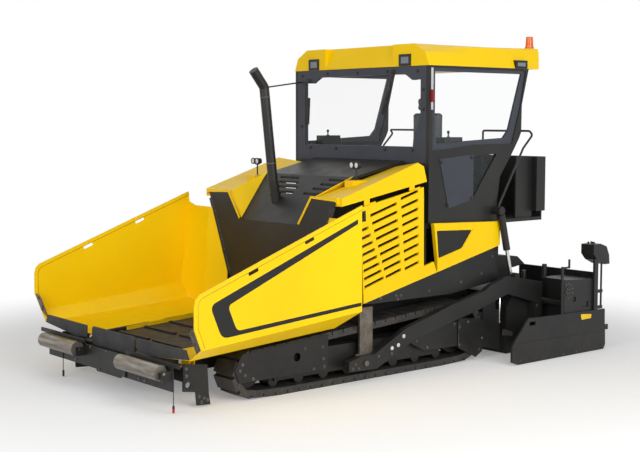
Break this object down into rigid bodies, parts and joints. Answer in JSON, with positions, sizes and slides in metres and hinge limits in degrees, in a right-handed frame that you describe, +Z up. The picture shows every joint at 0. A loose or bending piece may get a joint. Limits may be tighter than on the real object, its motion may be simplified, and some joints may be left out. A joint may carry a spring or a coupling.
{
  "type": "tracked asphalt paver",
  "caption": "Tracked asphalt paver with folding hopper wings, push rollers, augers, an open operator's cab and an extending screed.",
  "frame": {"origin": "on the ground at the middle of the machine's length and width", "axes": "+X forward to the hopper, +Y to the machine's left, +Z up"},
  "size_m": [6.092, 3.64, 3.785],
  "materials": {
    "yellow_paint": "gloss enamel, yellow",
    "black_paint": "satin enamel, black",
    "grey_paint": "satin enamel, slate grey",
    "track_steel": "worn cast steel",
    "bare_steel": "brushed, worn by tyres",
    "rod_chrome": "ground and chromed",
    "rubber": "matt",
    "seat_vinyl": "grained vinyl, dark grey",
    "engine_grey": "painted casting",
    "amber": "clear amber"
  },
  "bodies": {
    "chassis": {"main_frame": "black_paint", "frame_brackets": "black_paint", "conveyor": "track_steel", "front_apron": "rubber", "hopper_wall": "black_paint", "engine_block": "engine_grey", "hood": "black_paint", "seat": "seat_vinyl", "tow_guides": "bare_steel", "platform": "black_paint", "windscreen_frame": "grey_paint", "roof": "yellow_paint", "beacon": "amber", "exhaust": "black_paint", "console": "black_paint", "auger_gearbox": "black_paint", "lamps": "black_paint", "handrails": "black_paint", "track_left": "track_steel", "track_right": "track_steel", "track_frame_left": "black_paint", "track_frame_right": "black_paint", "shoulder_left": "yellow_paint", "shoulder_right": "yellow_paint", "rear_panel_left": "yellow_paint", "rear_panel_right": "yellow_paint", "skirt_left": "black_paint", "skirt_right": "black_paint", "cab_side_left": "black_paint", "cab_side_right": "black_paint", "window_frame_left": "grey_paint", "window_frame_right": "grey_paint"},
    "roller_beam": {"roller_beam": "black_paint"},
    "wing_left": {"wing_left": "yellow_paint", "wing_apron_left": "rubber"},
    "wing_barrel_left": {"wing_barrel_left": "black_paint"},
    "wing_rod_left": {"wing_rod_left": "rod_chrome"},
    "push_roller_left": {"push_roller_left": "bare_steel"},
    "side_door_left": {"side_door_left": "yellow_paint"},
    "extension_left": {"extension_left": "black_paint", "end_plate_left": "black_paint", "screed_console_left": "black_paint"},
    "auger_left": {"auger_left": "track_steel"},
    "lift_barrel_left": {"lift_barrel_left": "black_paint"},
    "lift_rod_left": {"lift_rod_left": "rod_chrome"},
    "wing_right": {"wing_right": "yellow_paint", "wing_apron_right": "rubber"},
    "wing_barrel_right": {"wing_barrel_right": "black_paint"},
    "wing_rod_right": {"wing_rod_right": "rod_chrome"},
    "push_roller_right": {"push_roller_right": "bare_steel"},
    "side_door_right": {"side_door_right": "yellow_paint"},
    "extension_right": {"extension_right": "black_paint", "end_plate_right": "black_paint", "screed_console_right": "black_paint"},
    "auger_right": {"auger_right": "track_steel"},
    "lift_barrel_right": {"lift_barrel_right": "black_paint"},
    "lift_rod_right": {"lift_rod_right": "rod_chrome"},
    "screed": {"screed_body": "black_paint", "tow_arm_left": "black_paint", "tow_arm_right": "black_paint"}
  },
  "joints": [
    {"name": "wing_fold_left", "type": "hinge", "parent": "chassis", "child": "wing_left", "pos_m": [1.8, 0.722, 0.5251], "axis": [0.9982, 0, -0.0599], "range_deg": [0, 40]},
    {"name": "wing_barrel_turn_left", "type": "hinge", "parent": "chassis", "child": "wing_barrel_left", "pos_m": [2.4, 0.15, 0.29], "axis": [1, 0, 0], "range_deg": [0, 6]},
    {"name": "wing_rod_slide_left", "type": "slide", "parent": "wing_barrel_left", "child": "wing_rod_left", "axis": [0, 0.9995, 0.0325], "range_m": [0, 0.115]},
    {"name": "push_roller_spin_left", "type": "hinge", "parent": "roller_beam", "child": "push_roller_left", "pos_m": [2.968, 0.805, 0.39], "axis": [0, 1, 0], "continuous": true},
    {"name": "side_door_lift_left", "type": "hinge", "parent": "chassis", "child": "side_door_left", "pos_m": [0.5, 1.2375, 1.861], "axis": [0.9802, 0, -0.1979], "range_deg": [0, 80]},
    {"name": "extension_slide_left", "type": "slide", "parent": "screed", "child": "extension_left", "axis": [0, 1, 0], "range_m": [-0.37, 0.53]},
    {"name": "auger_spin_left", "type": "hinge", "parent": "chassis", "child": "auger_left", "pos_m": [-1.59, 0.6, 0.34], "axis": [0, 1, 0], "continuous": true},
    {"name": "lift_barrel_turn_left", "type": "hinge", "parent": "chassis", "child": "lift_barrel_left", "pos_m": [-1.65, 1.3, 1.72], "axis": [0, -1, 0], "range_deg": [0, 3]},
    {"name": "lift_rod_slide_left", "type": "slide", "parent": "lift_barrel_left", "child": "lift_rod_left", "axis": [0.2428, 0, 0.9701], "range_m": [0, 0.265]},
    {"name": "wing_fold_right", "type": "hinge", "parent": "chassis", "child": "wing_right", "pos_m": [1.8, -0.722, 0.5251], "axis": [-0.9982, 0, 0.0599], "range_deg": [0, 40]},
    {"name": "wing_barrel_turn_right", "type": "hinge", "parent": "chassis", "child": "wing_barrel_right", "pos_m": [2.4, -0.15, 0.29], "axis": [-1, 0, 0], "range_deg": [0, 6]},
    {"name": "wing_rod_slide_right", "type": "slide", "parent": "wing_barrel_right", "child": "wing_rod_right", "axis": [0, -0.9995, 0.0325], "range_m": [0, 0.115]},
    {"name": "push_roller_spin_right", "type": "hinge", "parent": "roller_beam", "child": "push_roller_right", "pos_m": [2.968, -0.805, 0.39], "axis": [0, 1, 0], "continuous": true},
    {"name": "side_door_lift_right", "type": "hinge", "parent": "chassis", "child": "side_door_right", "pos_m": [0.5, -1.2375, 1.861], "axis": [-0.9802, 0, 0.1979], "range_deg": [0, 80]},
    {"name": "extension_slide_right", "type": "slide", "parent": "screed", "child": "extension_right", "axis": [0, -1, 0], "range_m": [-0.37, 0.53]},
    {"name": "auger_spin_right", "type": "hinge", "parent": "chassis", "child": "auger_right", "pos_m": [-1.59, -0.6, 0.34], "axis": [0, 1, 0], "continuous": true},
    {"name": "lift_barrel_turn_right", "type": "hinge", "parent": "chassis", "child": "lift_barrel_right", "pos_m": [-1.65, -1.3, 1.72], "axis": [0, -1, 0], "range_deg": [0, 3]},
    {"name": "lift_rod_slide_right", "type": "slide", "parent": "lift_barrel_right", "child": "lift_rod_right", "axis": [0.2428, 0, 0.9701], "range_m": [0, 0.265]},
    {"name": "beam_swivel", "type": "hinge", "parent": "chassis", "child": "roller_beam", "pos_m": [2.85, 0, 0.3], "axis": [0, 0, 1], "range_deg": [-3, 3]},
    {"name": "screed_lift", "type": "hinge", "parent": "chassis", "child": "screed", "pos_m": [0.555, 0, 0.21], "axis": [0, 1, 0], "range_deg": [0, 6]}
  ],
  "couplings": [
    {"joint": "wing_barrel_turn_left", "follows": "wing_fold_left", "ratio": 0.131},
    {"joint": "wing_rod_slide_left", "follows": "wing_fold_left", "m_per_rad": 0.15885},
    {"joint": "lift_barrel_turn_left", "follows": "screed_lift", "ratio": 0.46333},
    {"joint": "lift_rod_slide_left", "follows": "screed_lift", "m_per_rad": 2.4886},
    {"joint": "wing_barrel_turn_right", "follows": "wing_fold_right", "ratio": 0.131},
    {"joint": "wing_rod_slide_right", "follows": "wing_fold_right", "m_per_rad": 0.15885},
    {"joint": "lift_barrel_turn_right", "follows": "screed_lift", "ratio": 0.46333},
    {"joint": "lift_rod_slide_right", "follows": "screed_lift", "m_per_rad": 2.4886}
  ]
}
